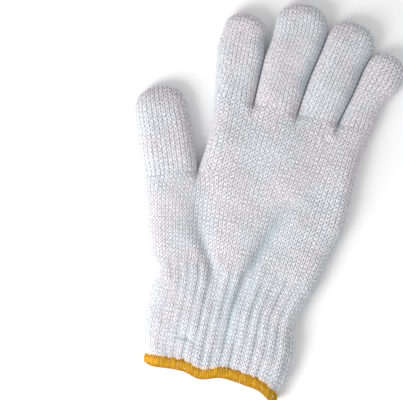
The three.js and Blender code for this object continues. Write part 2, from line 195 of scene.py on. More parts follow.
def inset(k, y, depth):
    """How far a skin lies inside line k: nothing at the fork, growing with the square root of the height.
    The index and middle finger draw back further near their tips, by an S-curve."""
    if k in (0, STRIPS):
        return depth + 0 * y
    above = y - fork_height(k, depth)
    grown = np.clip(above / (STUB + WEB * depth / WALL), 0, 1)
    spread = SPREAD * ease(above, SPREAD_START, SPREAD_END) if k == 2 else 0
    return ((0 if k == 1 else DIGIT_GAP / 2 + spread) + depth) * np.sqrt(grown)


print("palm is", round(float(palm_line(5, 80.0) - palm_line(1, 80.0)), 1), "mm wide below the fingers")

# %% [markdown]
# ## The flat tube
# Across a strip the empty glove is a flattened tube: its upper layer curves down over the side edges in a
# quarter of an ellipse, and the lower layer lies on the table. Points are spaced by the length of the
# surface and not by the width, because stitches don't get finer where the cloth turns over an edge.
# %% Section and thickness
FOLD_SHADE = 0.85  # darkening at the bottom of a fold
DEEPEST_FOLD = 3.3  # in millimetres


def thickness(y, place):
    """Thickness of the flat glove: cuff, palm and finger values joined by S-curves along the hand, less
    towards both sides by half a sine wave."""
    cuff_to_palm = lerp(CUFF_THICKNESS, PALM_THICKNESS, ease(y, -CUFF_LENGTH / 2, PALM_LENGTH / 4))
    to_fingers = ease(y, PALM_LENGTH - 2 * FADE, PALM_LENGTH)
    dome = 1 - DOME + DOME * np.sin(np.pi * np.clip(place, 0, STRIPS) / STRIPS)
    return dome * lerp(cuff_to_palm, FINGER_THICKNESS, to_fingers)


def fold_wave(y, place, narrow=1.0):
    """Drop of the upper layer in millimetres: bell curves across the hand that widen upwards, round
    middles bowed by half a sine wave. They fade as a quarter circle up the palm, and as its cube down the
    cuff."""
    drop = 0
    for foot, head, reach, width, depth, bow in FOLDS:
        along = np.where(y > 0, y / (reach * PALM_LENGTH), FOLD_TAIL * y / CUFF_LENGTH)
        up = np.clip(along, 0, 1)
        middle = lerp(foot, head, up) + bow * np.sin(np.pi * up)
        away = (place - middle) / (width * narrow * lerp(1, FOLD_FLARE, up))
        left_over = np.maximum(0, 1 - along**2) ** np.where(y > 0, 0.5, 1.5)
        drop = drop + depth * PALM_THICKNESS * left_over * np.exp(-away * away)
    return drop


def edge_radius(width, layer, depth):
    """Radius of the side edge, less on a narrow strip and on a deeper skin."""
    return np.minimum(ROUND[layer], 0.46 * width) - depth / 2


def across(q, width, open_left, open_right, layer, depth):
    """Place across a strip by the length of its surface: a quarter turn as long as its side is open, a
    straight piece and another turn. Returns the shares of the width and of the height."""
    radius = edge_radius(width, layer, depth)
    arc = np.pi / 2 * radius * FLATTENED
    total = width - radius * (open_left + open_right) + arc * (open_left + open_right)
    run, rest = q * total, (1 - q) * total
    turn_left, turn_right = (np.clip(way / np.maximum(arc * side, 1e-9), 0, 1) * np.pi / 2
                             for way, side in ((run, open_left), (rest, open_right)))
    middle = radius * open_left + run - arc * open_left
    at_left = radius * open_left * (1 - np.cos(turn_left))
    at_right = width - radius * open_right * (1 - np.cos(turn_right))
    x = np.where(run < arc * open_left, at_left, np.where(rest < arc * open_right, at_right, middle))
    height = 1 - open_left * (1 - np.sin(turn_left)) - open_right * (1 - np.sin(turn_right))
    return x / width, height


def fold_shade(y, place):
    """Darkening of the folds: the drop over the deepest one, to a power that keeps it to the bottom,
    easing to nothing at the top of the cuff."""
    return FOLD_SHADE * (fold_wave(y, place, 0.85) / DEEPEST_FOLD) ** 1.3 * ease(y, -12, 12)


def rounded(from_side, width, layer, depth):
    """Height of the section this far from its side: a quarter of an ellipse, then level."""
    run = np.clip(from_side / edge_radius(width, layer, depth), 0, 1)
    return np.sqrt(1 - (1 - run) ** 2)


def stand_off(full, fold, deep, height, layer):
    """Z of a layer: the side edges lie at a share of the full thickness, and the layer stands off that
    level by the rest of it, less fold and depth, times the height of the section."""
    middle = MIDDLE_SHARE * full
    if layer == "front":
        return middle + (full - middle - fold - deep) * height
    return middle - (middle - deep) * height


def raise_layer(xy, height, place, layer, depth, dent=0):
    """Points with their third coordinate, from the thickness and the folds at each place."""
    y = xy[..., 1]
    z = stand_off(thickness(y, place), fold_wave(y, place), depth + dent, height, layer)
    return np.concatenate([xy, z[..., None]], axis=-1)


def place_in_palm(x, y):
    """Place across the palm's strips: the shares across each of them, from 0 to 1, added up."""
    lines = [palm_line(k, y) for k in range(STRIPS + 1)]
    return sum(np.clip((x - a) / (b - a), 0, 1) for a, b in zip(lines, lines[1:]))


def tube(q, left, right, open_left, open_right, strip, layer, depth, dent=0):
    """Grid between two lines of side points: the section's share of the way from left to right, then
    raised. Its place is the strip's number and that share, or in the palm it is worked out from the
    point."""
    width = np.linalg.norm(right - left, axis=1)[:, None]
    share, height = across(q, width, open_left[:, None], open_right[:, None], layer, depth)
    xy = left[:, None, :] + share[..., None] * (right - left)[:, None, :]
    place = place_in_palm(xy[..., 0], xy[..., 1]) if strip is None else strip + share
    return raise_layer(xy, height, place, layer, depth, dent)


print("palm is", round(float(thickness(60.0, 2.5)), 1), "mm thick in the middle")

# %% [markdown]
# ## The stitches
# Plain knitting seen from its right side is a row of upright braids, called wales. Each wale is a stack
# of V shapes, one for each row of loops, called a course. The legs of a V are thick slanting strands that
# touch their neighbours and leave small dark holes. Modelling every loop as a bent tube would take
# millions of faces, so the relief is written as a height over two coordinates, wales across and courses
# along.
# %% Relief of plain knitting
STRIP_WALES = [row[5] for row in DIGITS.values()]
FIRST_WALE = np.concatenate([[0], np.cumsum(STRIP_WALES)])  # number of the wale on each line of the palm
WALES = FIRST_WALE[-1]  # wales on one layer of the cuff
COURSES_BELOW, COURSES_ABOVE = 22, 19  # courses of the palm below and above the thumb's fork
COURSE = 2.57  # millimetres from one course to the next on the digits
STRIP_OF = {name: strip for strip, name in enumerate(DIGITS)}
SHOULDER = {name: row[3] * row[1] for name, row in DIGITS.items()}  # up to its tip
# Height of each digit's fork, and the courses below it.
FORK = {name: (PALM_LENGTH, COURSES_BELOW + COURSES_ABOVE) for name in FINGERS}
FORK["thumb"] = (THUMB_FORK, COURSES_BELOW)
SLANT = 0.55  # how far a strand climbs over half a wale, in courses
RELIEF = 1.0  # from the bottom of a hole to the crest of a strand, in millimetres
LEVEL = 0.62  # height of the knit that lies on the plain surface
# Waves of the slack cloth: length, direction in radians, size and phase.
SLACK_WAVES = ((38, 0.4, 0.4, 0.3), (27, 1.9, 0.3, 1.7), (19, 2.6, 0.2, 4), (13, 1.1, 0.1, 2))


def stitch(wale, course):
    """Height of the knit from 0 in a hole to 1 on a crest. Across half a wale, from its edge to its
    middle, it is a flat arch that drops more towards the edge. Along the wale it dips between two courses
    by one less the square root of a sine, deepest at the edge and in the middle. The slant shifts the
    dips by about half a course, which staggers the holes. A wale's middle is on a whole number."""
    a = 1 - 2 * np.abs(wale - np.round(wale))
    along = np.sin(np.pi * ((course - SLANT * (1 - a)) % 1))
    strand = (1 - ((a - 0.5) / np.where(a < 0.5, 0.545, 1)) ** 2) ** 0.3
    dip = 0.42 + 0.53 * (2 * a - 1) ** 2
    return strand * (1 - dip * (1 - np.sqrt(along)))


def slack(x, y):
    """Slow unevenness of loose cloth in millimetres: a sum of long sine waves in fixed directions."""
    total = 0
    for length, angle, size, phase in SLACK_WAVES:
        total = total + size * np.sin(2 * np.pi * (x * np.cos(angle) + y * np.sin(angle)) / length + phase)
    return total


sample = stitch(*np.meshgrid(np.linspace(0, 1, 60), np.linspace(0, 1, 60)))
print("mean height of the knit:", sample.mean().round(2))

# %% [markdown]
# ## From grids to a closed piece
# A piece of the glove is a handful of grids: fine ones for its outer skin, coarse ones for its inner
# skin, and rims that close the wall. Each grid also gets a rectangle of its own on a flat map, for baking
# its colours.
# %% Grids


def grid(points, wale, course, kind, flip, painted_shade=0, halo=0, hush=1):
    """Sheet of points with its stitch coordinates. Faces run from each point to the next in its row, up a
    row and back, or the other way round where flip is set."""
    shape = points.shape[:2]
    full = [np.broadcast_to(np.asarray(v, float), shape) for v in (wale, course, painted_shade, halo, hush)]
    return dict(points=points, values=np.stack(full, axis=-1), kind=kind, flip=flip)


def skin(points, wale, course, layer, depth, painted_shade, halo=0, downwards=False):
    """Grid of the outer skin at depth 0, and else of the inner one, which faces the other way."""
    outer = depth == 0
    flip = ((layer == "back") == outer) != downwards
    return grid(points, wale, course, "outer" if outer else "inner", flip, painted_shade, halo)


def quads_of(rows, columns, flip):
    """Corner numbers of every face: a point, its right neighbour, and the two above them."""
    a = (np.arange(rows - 1)[:, None] * columns + np.arange(columns - 1)).ravel()
    quads = np.stack([a, a + 1, a + columns + 1, a + columns], axis=1)
    return quads[:, ::-1] if flip else quads


def lay_out(grids):
    """Puts every grid's rectangle on shelves in the unit square, highest first. Returns two coordinates
    for each point, in the order of the grids."""
    sizes = [[np.linalg.norm(np.diff(g["points"], axis=k), axis=2).sum(axis=k).max() + 2 for k in (1, 0)]
             for g in grids]
    row_width = np.sqrt(sum(w * h for w, h in sizes)) * 1.05
    x = y = shelf = 0
    corners = {}
    for n in sorted(range(len(grids)), key=lambda n: -sizes[n][1]):
        w, h = sizes[n]
        if x + w > row_width and x > 0:
            x, y, shelf = 0, y + shelf, 0
        corners[n] = (x + 1, y + 1)
        x, shelf = x + w, max(shelf, h)
    side = max(row_width, y + shelf, max(w for w, _ in sizes))
    places = []
    for n, g in enumerate(grids):
        rows, columns = g["points"].shape[:2]
        u = corners[n][0] + (sizes[n][0] - 2) * np.linspace(0, 1, columns)[None, :]
        v = corners[n][1] + (sizes[n][1] - 2) * np.linspace(0, 1, rows)[:, None]
        places.append(np.stack(np.broadcast_arrays(u, v), axis=-1).reshape(-1, 2) / side)
    return np.concatenate(places)


print("a grid of 3 by 4 points has", len(quads_of(3, 4, False)), "faces")

# %% [markdown]
# The merge tool would be slow on so many points, so numpy finds those at the same place by rounding and
# numbers them once. The outer skin is then lifted by the stitches along its own direction. Where it faces
# down it is only sunk, so that the glove rests on its crests.
# %% Sew grids together
MERGE = 1e-3  # points closer than this, in millimetres, are one
TRIANGLES = {}


def in_scene(name, data):
    """New object in the scene's collection."""
    thing = bpy.data.objects.new(name, data)
    bpy.context.scene.collection.objects.link(thing)
    return thing


def outer_normals(flat, quads, number, count):
    """Unit direction of each merged point: its faces' crossed diagonals, added up."""
    corner = flat[quads]
    cross = np.cross(corner[:, 2] - corner[:, 0], corner[:, 3] - corner[:, 1])
    target = number[quads].ravel()
    normal = np.stack([np.bincount(target, np.repeat(cross[:, k], 4), count) for k in range(3)], axis=1)
    return normal / np.maximum(np.linalg.norm(normal, axis=1, keepdims=True), 1e-12)


def face_loops(quads, number):
    """Corners of all faces in one row, where each face starts, and how many triangles they make. A face
    with two corners at one place becomes a triangle, and one with no area is left out."""
    faces = number[quads]
    same = faces == np.roll(faces, -1, axis=1)
    flatted = (same.sum(1) > 1) | (faces[:, 0] == faces[:, 2]) | (faces[:, 1] == faces[:, 3])
    square, pointed = quads[~flatted & ~same.any(1)], ~flatted & same.any(1)
    kept = (np.argmax(same[pointed], axis=1)[:, None] + np.array([1, 2, 3])) % 4
    triangle = np.take_along_axis(quads[pointed], kept, axis=1)
    starts = np.concatenate([np.arange(len(square)) * 4, square.size + np.arange(len(triangle)) * 3])
    return np.concatenate([square.ravel(), triangle.ravel()]), starts, 2 * len(square) + len(triangle)


def sew(name, node, material, grids, lift):
    """One closed mesh from grids. Points at the same place are merged, an outer point moves along its own
    direction by what lift says, and merged points share the mean of their stitch values."""
    flat = np.concatenate([g["points"].reshape(-1, 3) for g in grids])
    values = np.concatenate([g["values"].reshape(-1, 5) for g in grids])
    counts = [g["points"].shape[0] * g["points"].shape[1] for g in grids]
    starts = np.concatenate([[0], np.cumsum(counts)[:-1]])
    outer = np.repeat([g["kind"] == "outer" for g in grids], counts)
    rim = np.repeat([g["kind"] == "rim" for g in grids], counts)
    quads = np.concatenate([quads_of(*g["points"].shape[:2], g["flip"]) + s for g, s in zip(grids, starts)])
    places = np.round(flat / MERGE + 0.37).astype(np.int64)
    _, first, number = np.unique(places, axis=0, return_index=True, return_inverse=True)
    number = number.ravel()
    count = len(first)

    normal = outer_normals(flat, quads[outer[quads[:, 0]]], number, count)
    joined = number[outer]
    share = np.bincount(joined, minlength=count)
    rise, hollow = lift(flat[outer], values[outer], normal[joined])
    rise, hollow, painted_shade, halo = (np.bincount(joined, value, count) / np.maximum(share, 1)
                                  for value in (rise, hollow, values[outer, 2], values[outer, 3]))
    points = flat[first] + normal * rise[:, None] * (share > 0)[:, None]
    points[:, 2] = np.maximum(points[:, 2], 0)

    loops, face_start, triangles = face_loops(quads, number)
    mesh = bpy.data.meshes.new(name)
    for parts, key, rows in ((mesh.vertices, "co", (points + OFFSET) * 0.001),
                             (mesh.loops, "vertex_index", number[loops].astype(np.int32)),
                             (mesh.polygons, "loop_start", face_start.astype(np.int32))):
        parts.add(len(rows))
        parts.foreach_set(key, rows.ravel())
    mesh.update(calc_edges=True)
    mesh.validate()
    mesh.shade_smooth()
    for map_name, coordinates in (("Stitches", values[:, :2]), ("OFBake", lay_out(grids))):
        uv = mesh.uv_layers.new(name=map_name).uv
        uv.foreach_set("vector", coordinates[loops].astype(np.float32).ravel())
    # The first two attributes carry painted shade for the material: depth for the holes, the other for
    # folds, furrows and lines.
    for key, value in (("hollow", hollow), ("painted_shade", painted_shade), ("halo", halo)):
        mesh.attributes.new(key, "FLOAT", "POINT").data.foreach_set("value", value.astype(np.float32))
    ends = np.zeros(len(mesh.edges) * 2, np.int32)
    mesh.edges.foreach_get("vertices", ends)
    lip = np.bincount(number[rim], minlength=count) > 0
    sharp = lip[ends.reshape(-1, 2)].all(axis=1)
    mesh.attributes.new("sharp_edge", "BOOLEAN", "EDGE").data.foreach_set("value", sharp)
    mesh.materials.append(material)

    piece = in_scene(name, mesh)
    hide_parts(node)
    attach(piece, "root")
    TRIANGLES[name] = triangles
    print(name, "has", triangles, "triangles")


def knit_lift(places, values, normal):
    """Rise of a knitted skin: relief times the stitch's height above the level, which moves up to the
    crests where the skin faces down, plus slack on top. Returns the rise and how deep a point lies."""
    height = stitch(values[:, 0], values[:, 1])
    level = lerp(LEVEL, 1.0, np.clip(-normal[:, 2], 0, 1))
    loose = slack(places[:, 0], places[:, 1]) * np.clip(normal[:, 2], 0, 1) ** 2
    return RELIEF * values[:, 4] * (height - level) + loose, 1 - height


print("points closer than", MERGE, "mm are merged")

# %% [markdown]
# ## Cotton string
# The string is bleached cotton, matt and slightly hairy, with uneven pinkish and bluish patches. Its
# colour is darkened with painted shade where a point lies deep, kept on the mesh as an attribute, because
# light alone doesn't darken holes as small as these enough. Folds, furrows and the lines between digits
# get a painted blue-grey shade in the same way.
# %% Cloth materials
STRAND_DARK = (0.62, 0.64, 0.66, 1)  # multiplies the colour of the darkest strands
HALO = (0.78, 0.5, 0.28, 1)  # tint of the knit where yellow fibres reach into it
SPECK = (0.85, 0.84, 0.8, 1)


def cloth(name, thread, hole, fold, patch_warm, patch_cool, fluff_tint, fleck=0.0, sheen=0.2):
    """Matt thread: one colour on the crests, painted shade in the hollows, a painted blue-grey shade in
    folds, furrows and lines, a tint from slow noise, and fine bump from noise and from waves that follow
    the stitches. Noise as large as a stitch makes some strands lighter."""
    material = bpy.data.materials.new(name)
    material.use_nodes = True
    nodes, links = material.node_tree.nodes, material.node_tree.links
    nodes.clear()

    def add(kind, inputs=(), **settings):
        """New node. Each input is a value, or a socket that is linked to it."""
        node = nodes.new(kind)
        for key, value in settings.items():
            setattr(node, key, value)
        for key, value in dict(inputs).items():
            if isinstance(value, bpy.types.NodeSocket):
                links.new(value, node.inputs[key])
            else:
                node.inputs[key].default_value = value
        return node

    def noise(vector, scale, detail):
        """Noise from 0 to 1 over a vector."""
        inputs = {"Vector": vector, "Scale": scale, "Detail": detail}
        return add("ShaderNodeTexNoise", inputs).outputs["Fac"]

    def mix(factor, a, b, how="MIX"):
        """Mix of two colours by a factor."""
        return add("ShaderNodeMix", {0: factor, 6: a, 7: b}, data_type="RGBA", blend_type=how).outputs[2]

    def ramp(value, low, high, to=1.0):
        """Straight ramp from 0 at low to its top value at high."""
        return add("ShaderNodeMapRange", {0: value, 1: low, 2: high, 3: 0.0, 4: to}).outputs[0]

    hollow, painted_shade, halo = (add("ShaderNodeAttribute", attribute_name=key).outputs["Fac"]
                            for key in ("hollow", "painted_shade", "halo"))
    place = add("ShaderNodeTexCoord").outputs["Object"]
    stitches = add("ShaderNodeUVMap", uv_map="Stitches").outputs["UV"]
    patches, fluff, specks = noise(place, 45, 2), noise(place, 1400, 3), noise(place, 1500, 0)
    strands = noise(stitches, 1.7, 2)
    ply = add("ShaderNodeTexWave", {"Vector": stitches, "Scale": 1.3, "Distortion": 2.0, "Detail": 1.0},
              bands_direction="DIAGONAL").outputs["Fac"]
    colour = mix(0.6, thread, mix(ramp(patches, 0.35, 0.65), patch_warm, patch_cool))
    dark = mix(1.0, colour, STRAND_DARK, "MULTIPLY")
    colour = mix(ramp(strands, 0.32, 0.62, 0.65), dark, colour)
    # Among these tints the hole and fold colours are painted shade: the first where a point lies deep, the
    # second along folds, furrows, lines between digits and the thread's underside.
    for factor, tint in ((ramp(strands, 0.45, 0.75, 0.7), fluff_tint),
                         (ramp(fluff, 0.35, 0.7, 0.25), fluff_tint), (ramp(hollow, 0.25, 0.68), hole),
                         (ramp(painted_shade, 0.0, 1.0, 0.85), fold), (halo, HALO),
                         (ramp(specks, 0.77, 0.8, fleck), SPECK)):
        colour = mix(factor, colour, tint)
    bump = add("ShaderNodeBump", {"Height": mix(0.4, ply, fluff), "Strength": 0.5, "Distance": 0.0004})
    shader = add("ShaderNodeBsdfPrincipled", {
        "Base Color": colour, "Normal": bump.outputs["Normal"], "Roughness": 0.9,
        "Specular IOR Level": 0.15, "Sheen Weight": sheen, "Sheen Roughness": 0.6})
    add("ShaderNodeOutputMaterial", {"Surface": shader.outputs[0]})
    print("material", name, "has", len(nodes), "nodes")
    return material


# Painted shade colours: one for the holes between stitches, a blue-grey one for folds, furrows and the
# lines between digits.
HOLE_SHADE, SHADE_TINT, FLUFF = (0.11, 0.11, 0.14, 1), (0.36, 0.46, 0.5, 1), (0.92, 0.9, 0.93, 1)
COTTON = cloth("Cotton_knit", (0.78, 0.755, 0.785, 1), HOLE_SHADE, SHADE_TINT, (0.83, 0.71, 0.75, 1),
               (0.7, 0.755, 0.8, 1), FLUFF)
RIB_COTTON = cloth("Cotton_rib", (0.76, 0.755, 0.79, 1), HOLE_SHADE, SHADE_TINT, (0.84, 0.75, 0.79, 1),
                   (0.71, 0.78, 0.83, 1), FLUFF)

# %% [markdown]
# ## Where the wales run
# The 51 wales on a layer lie close together where the palm meets the cuff and spread towards the digits.
# A finger has more wales than its strip of the palm. The extra ones start in the groove beside it, where
# the cloth turns down and makes room for them. Furrows and dark lines follow the same numbers.
# %% Wales and what follows them
RIB_TOP = 14  # how far the ribs of the cuff run up into the palm
FURROW = 1.0  # depth of a furrow between two ribs
RIB_SHADE = 0.48  # darkening at the bottom of a furrow
GATHER = 20  # height above the forks where a finger has all its wales
TURN_GAIN = 0.414  # extra length of the cloth that turns down at a side edge, over its radius
SHADE_REACH = {1: 5, 2: 4, 3: 2, 4: 9}  # how far the dark line between two digits runs into the palm
BAND = {2: 5, 3: 7.5, 4: 7.5}  # width over the surface of the shaded side left of a finger's line
LUMP = (41.5, 97.5)  # middle of the small lump below the last fork
LUMP_RING = 4  # radius of the furrow round it


def rib_dent(wale, y):
    """Depth of the furrows: a bell curve round every third wale, from nothing above the cuff to full
    within it, and shallower on both sides. Sine waves make its width and depth a little uneven."""
    rib = np.round(wale / 3)
    away = np.abs(wale - 3 * rib) / (0.8 + 0.15 * np.sin(1.7 * rib))
    across_hand = (0.2 + 0.8 * ease(wale, 4, 22)) * (1 - 0.3 * ease(wale, 34, 48))
    strength = ease(-y, -RIB_TOP, RIB_TOP / 3) * across_hand
    return FURROW * strength * (0.75 + 0.25 * np.sin(2.4 * rib + y / 9)) * np.exp(-away * away)


def wale_line(k, y):
    """Line of the palm as the wales follow it: at the cuff halfway to where even spacing over the surface
    would put it, and by an S-curve onto the line between the strips below its fork."""
    if k in (0, STRIPS):
        return palm_line(k, y)
    even = across(FIRST_WALE[k] / WALES, wrist_right - wrist_left, 1, 1, "front", 0)[0]
    shift = 0.5 * (even - k / STRIPS) * (wrist_right - wrist_left)
    return palm_line(k, y) + shift * (1 - ease(y, 0, THUMB_FORK - (FADE if k == 1 else 0)))


def extra_wales(name, k, y):
    """Wales that a digit has more at line k than its strip: as many as the turned down cloth has room
    for, and by an S-curve above the fork half of those missing."""
    strip_count, count = DIGITS[name][5:]
    room = TURN_GAIN * ROUND["front"] * openness(k, y, 0) * strip_count / DIGITS[name][0]
    room = 0 if k in (0, 1, STRIPS) else room
    more = (count - strip_count) / 2
    return lerp(np.minimum(room, more), more, ease(y, PALM_LENGTH - 4, PALM_LENGTH + GATHER))


def wale_columns(name, per_wale, with_extra=True):
    """Wale numbers of a grid's columns, cut at the same places from cuff to fingertip."""
    strip_count, count = DIGITS[name][5:]
    more = (count - strip_count) // 2 if with_extra else 0
    return np.linspace(-more, strip_count + more, (strip_count + 2 * more) * per_wale + 1)


def share_of_wale(name, wale, y):
    """Share across a strip or digit of each wale, and its number, held between the outermost two at that
    height. Those within a twentieth of a wale of them are put onto them, so that no face is too thin."""
    strip = STRIP_OF[name]
    low, high = -extra_wales(name, strip, y), DIGITS[name][5] + extra_wales(name, strip + 1, y)
    held = np.where(wale < low + 0.05, low, np.where(wale > high - 0.05, high, wale))
    return (held - low) / (high - low), FIRST_WALE[strip] + held


def line_shade(q, width, strip, y):
    """Dark line where two strips meet: an exponential fall away from it, fading in below the fork. The
    right side of a finger faces away from the light and gets a broader band with a clear rim."""
    shade = 0
    for k, away in ((strip, q), (strip + 1, 1 - q)):
        if 0 < k < STRIPS:
            fork = fork_height(k, 0)
            left_in = 1 - 0.5 * ease(y, fork, fork + 12) if k > 1 else 1 - ease(y, fork - 2, fork + 5)
            grown = ease(y, fork - SHADE_REACH[k], fork)
            shade = np.maximum(shade, grown * left_in * np.exp(-away * width / 1.5))
    if strip + 1 in BAND:
        open_in = ease(y, PALM_LENGTH, PALM_LENGTH + 22)
        band = 0.75 * open_in * np.exp(-((1 - q) * width / lerp(1, BAND[strip + 1], open_in)) ** 4)
        shade = np.maximum(shade, band)
    return shade


def pucker(x, y):
    """A small lump below the last fork, with half a ring of furrow at its lower left, both bell curves of
    the distance from its middle. Returns rise and shade."""
    away = np.hypot(x - LUMP[0], y - LUMP[1])
    lower_left = 0.5 + 0.5 * np.tanh((LUMP[0] - x + LUMP[1] - y) / 2)
    furrow = lower_left * np.exp(-((away - LUMP_RING) / 1.1) ** 2)
    return 0.8 * np.exp(-((away / 3) ** 2)) - 0.6 * furrow, 0.3 * furrow


pitch = (wale_line(2, 60.0) - wale_line(1, 60.0)) / STRIP_WALES[1]
print("a wale is", round(float(pitch), 2), "mm wide in the middle of the palm")

# %% [markdown]
# ## The palm
# The palm holds all five strips below the forks and a short tube for each digit above them. Its skins are
# cut at the same wales as the digits', so that each column of stitches runs on from piece to piece.
# %% Palm
PALM_COLUMNS = {"front": 8, "back": 3}  # grid columns for each wale
ROWS = 4  # grid rows for each course
INNER_ROWS = 5


def palm_grid(below, strip, layer, depth):
    """Skin of one strip below or above the thumb's fork: the section between both side lines, with
    furrows, lump and shade."""
    courses = COURSES_BELOW if below else COURSES_ABOVE
    share = np.linspace(0, 1, (INNER_ROWS if depth else courses * ROWS) + 1)
    lower = WEB * depth / WALL
    sides = []
    for k, sign in ((strip, 1), (strip + 1, -1)):
        if below:
            y = ((thumb_foot[1] if k == 0 else THUMB_FORK) - lower) * share
        else:
            y = lerp(THUMB_FORK, PALM_LENGTH, share) - lower
        open_side = np.ones_like(y) if k == 1 and not below else openness(k, y, depth)
        sides.append((np.stack([wale_line(k, y) + sign * inset(k, y, depth), y], axis=1), open_side))
    (left, open_left), (right, open_right) = sides
    name = list(DIGITS)[strip]
    columns = wale_columns(name, PALM_COLUMNS[layer], not below)
    q, wale = share_of_wale(name, columns, (left[:, 1:] + right[:, 1:]) / 2)
    y = lerp(left[:, 1:], right[:, 1:], q)
    furrow = rib_dent(wale, y)
    rise, ring = pucker(left[:, :1] + q * (right - left)[:, :1], y) if layer == "front" else (0, 0)
    points = tube(q, left, right, open_left, open_right, None, layer, depth, furrow - rise)
    course = (0 if below else COURSES_BELOW) + courses * share[:, None]
    shade = line_shade(q, (right - left)[:, :1], strip, y) + RIB_SHADE * furrow / FURROW + ring
    if layer == "front":
        shade = shade + fold_shade(y, place_in_palm(points[..., 0], y))
    return skin(points, wale, course, layer, depth, shade)


def digit_rows(name, t, depth):
    """Both sides of a digit at shares t of the way to its shoulder, set in by the gap and the wall. A
    finger's run along its lines, one of them a little further where the tip is turned. The thumb's run
    along its lean, the inner one drawn in as its width shrinks."""
    strip, shoulder = STRIP_OF[name], SHOULDER[name]
    width, turn = DIGITS[name][0], DIGITS[name][4]
    if name == "thumb":
        up = np.outer(t * shoulder, THUMB_UP)
        drawn_in = np.outer(width - digit_width(name, t * shoulder), THUMB_OUT)
        left, right = thumb_foot + up, thumb_fork + up + drawn_in
    else:
        slope = np.tan(np.radians(turn)) * digit_width(name, shoulder) / 2
        left, right = (np.stack([finger_line(k, t * end), PALM_LENGTH + t * end], axis=1)
                       for k, end in ((strip - 1, shoulder + slope), (strip, shoulder - slope)))
    base = FORK[name][0] + t * shoulder
    inward = (right - left) / np.linalg.norm(right - left, axis=1, keepdims=True)
    from_left, from_right = inset(strip, base, depth)[:, None], inset(strip + 1, base, depth)[:, None]
    return left + inward * from_left, right - inward * from_right


def shaft_grid(name, t, layer, depth, per_wale):
    """Straight part of a digit between two shares of the way to its shoulder."""
    left, right = digit_rows(name, t, depth)
    strip, (fork, start) = STRIP_OF[name], FORK[name]
    ones = np.ones_like(t)
    above = t[:, None] * SHOULDER[name]
    y = fork + above
    q, wale = share_of_wale(name, wale_columns(name, per_wale), y)
    points = tube(q, left, right, ones, ones, strip, layer, depth)
    shade = line_shade(q, (right - left)[:, :1], strip, y)
    return skin(points, wale, start + above / COURSE, layer, depth, shade)


def rim_grid(outer, inner, flip):
    """Closes a wall: two rows, the outer skin's last and the inner skin's."""
    return grid(np.stack([outer, inner]), 0, 0, "rim", flip)


def palm_grids():
    """All grids of the palm: two skins of every strip, the short tubes, and rims at both ends."""
    grids = []
    for layer in ("front", "back"):
        back = layer == "back"
        for name, strip in STRIP_OF.items():
            foot, head = {}, {}
            for depth in (0, WALL):
                below = palm_grid(True, strip, layer, depth)
                top = palm_grid(False, strip, layer, depth) if strip else below
                t = np.linspace(0, 1, 2 if depth else 9) ** 1.5 * STUB / SHOULDER[name]
                stub = shaft_grid(name, t, layer, depth, PALM_COLUMNS[layer])
                stub["points"][0] = top["points"][-1]
                grids += [below, stub] + ([top] if strip else [])
                foot[depth], head[depth] = below["points"][0], stub["points"][-1]
            grids += [rim_grid(foot[0], foot[WALL], not back), rim_grid(head[0], head[WALL], back)]
    return grids


sew("palm_knit", "palm", COTTON, palm_grids(), knit_lift)

# %% [markdown]
# ## The digits
# A digit is a tube that ends in a rounded tip. Closing it in rings round a pole would bunch all wales
# together, which no knitted fingertip does. Here the two layers end like sheets sewn along a rounded
# outline, with each wale running straight up until it meets the outline.
# %% Thumb and fingers
DIGIT_COLUMNS = 8
TIP_ROWS, INNER_TIP_ROWS = 30, 6


def tip_grid(name, layer, depth, rows):
    """Rounded tip as a sheet: over each column stands a superellipse's height. Its own measure, 0 in the
    middle and 1 on the outline, stands in for the share across, so the sheet rounds off evenly."""
    left, right = (side[0] for side in digit_rows(name, np.array([1.0]), depth))
    strip, shoulder = STRIP_OF[name], SHOULDER[name]
    tip = DIGITS[name][1] - shoulder - depth
    width = np.linalg.norm(right - left)
    outwards = np.array([left[1] - right[1], right[0] - left[0]]) / width
    top = np.array([[PALM_LENGTH + GATHER]])
    q, wale = share_of_wale(name, wale_columns(name, DIGIT_COLUMNS), top)
    u = np.linspace(0, 1, rows + 1)[:, None]
    own = across(q, width, 1, 1, layer, depth)[0]
    mean = 0.5 * (across(q, width, 1, 1, "front", depth)[0] + across(q, width, 1, 1, "back", depth)[0])
    share = np.clip(lerp(own, mean, u), 0, 1)
    off = np.abs(2 * share - 1) ** TIP_SQUARENESS
    far = tip * (1 - (1 - u) ** 1.5) * np.maximum(0, 1 - off) ** (1 / TIP_SQUARENESS)
    measure = (off + (far / tip) ** TIP_SQUARENESS) ** (1 / TIP_SQUARENESS)
    height = rounded((1 - measure) * width / 2, width, layer, depth)
    xy = left + share[..., None] * (right - left) + far[..., None] * outwards
    points = raise_layer(xy, height, strip + share, layer, depth)
    course = FORK[name][1] + (shoulder + far) / COURSE
    shade = line_shade(q, width, strip, top) * (1 - u) ** 1.5
    return skin(points, wale, course, layer, depth, shade)


def digit_grids(name):
    """All grids of a digit: two skins of its shaft and tip, and the rim at its open end."""
    grids = []
    rows = int(round((SHOULDER[name] - STUB) / COURSE * ROWS))
    for layer in ("front", "back"):
        ends = {}
        for depth in (0, WALL):
            t = np.linspace(STUB / SHOULDER[name], 1, (INNER_ROWS if depth else rows) + 1)
            shaft = shaft_grid(name, t, layer, depth, DIGIT_COLUMNS)
            tip = tip_grid(name, layer, depth, INNER_TIP_ROWS if depth else TIP_ROWS)
            tip["points"][0] = shaft["points"][-1]
            grids += [shaft, tip]
            ends[depth] = shaft["points"][0]
        grids.append(rim_grid(ends[0], ends[WALL], layer == "front"))
    return grids


for name in DIGITS:
    sew(name + "_knit", name, COTTON, digit_grids(name), knit_lift)

